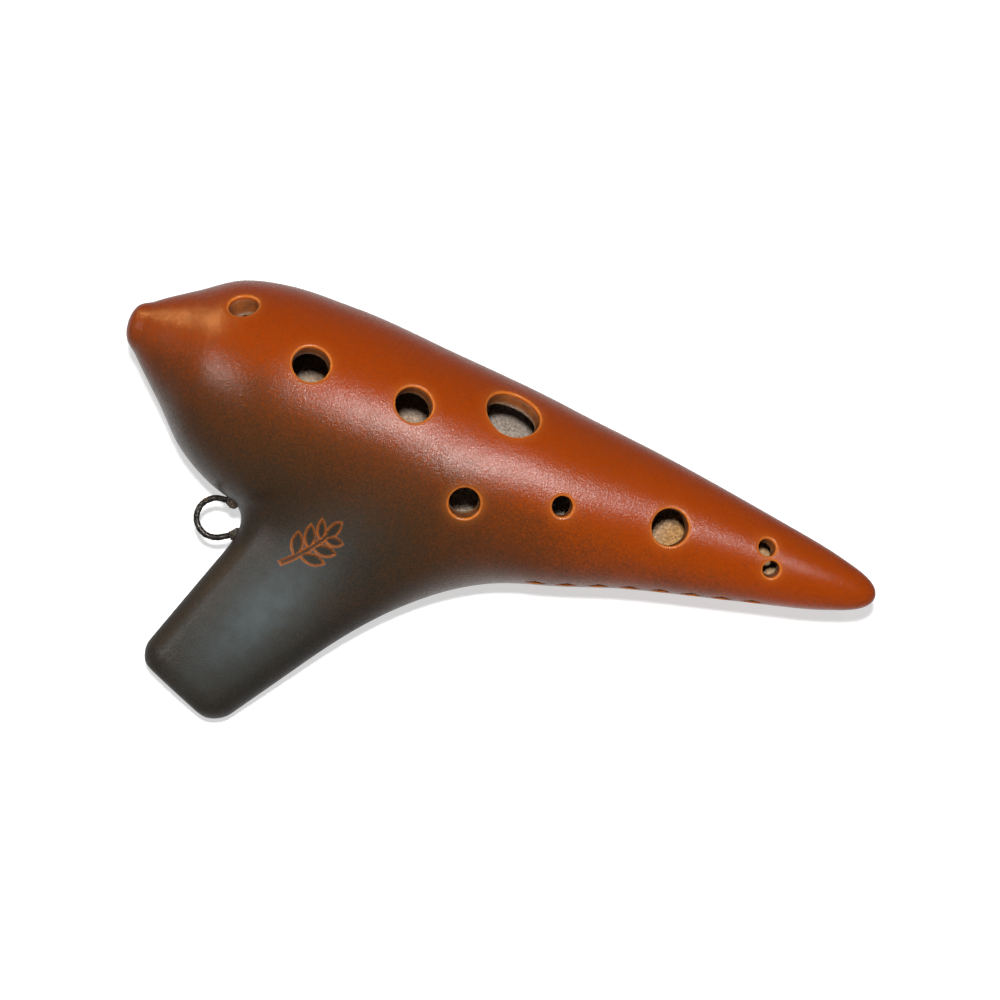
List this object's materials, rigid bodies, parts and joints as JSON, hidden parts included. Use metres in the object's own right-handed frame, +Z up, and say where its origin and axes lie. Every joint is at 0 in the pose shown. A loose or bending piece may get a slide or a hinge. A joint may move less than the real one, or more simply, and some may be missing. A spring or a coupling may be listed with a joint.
{
  "type": "ocarina",
  "caption": "Transverse ceramic ocarina with a tapering egg-shaped chamber, finger and thumb holes, a swept side mouthpiece with a windway and a wire loop for a neck cord.",
  "frame": {"origin": "middle of the bounding box at the level of the table it lies on", "axes": "+X along the body from the nose to the tail, +Y across it away from the mouthpiece, +Z up, on the side of the finger holes"},
  "size_m": [0.1248, 0.0674, 0.0355],
  "materials": {
    "stained_clay": "burnished satin, smoke-stained from burnt orange to charcoal brown",
    "bare_clay": "unstained, matt",
    "stained_slip": "rough, dark stained",
    "dark_iron": "dark drawn wire, dull"
  },
  "bodies": {
    "root": {"front_shell": "stained_clay", "back_shell": "stained_clay", "fipple_block": "bare_clay", "lanyard_loop": "dark_iron", "loop_collar_upper": "stained_slip", "loop_collar_lower": "stained_slip"}
  },
  "joints": []
}
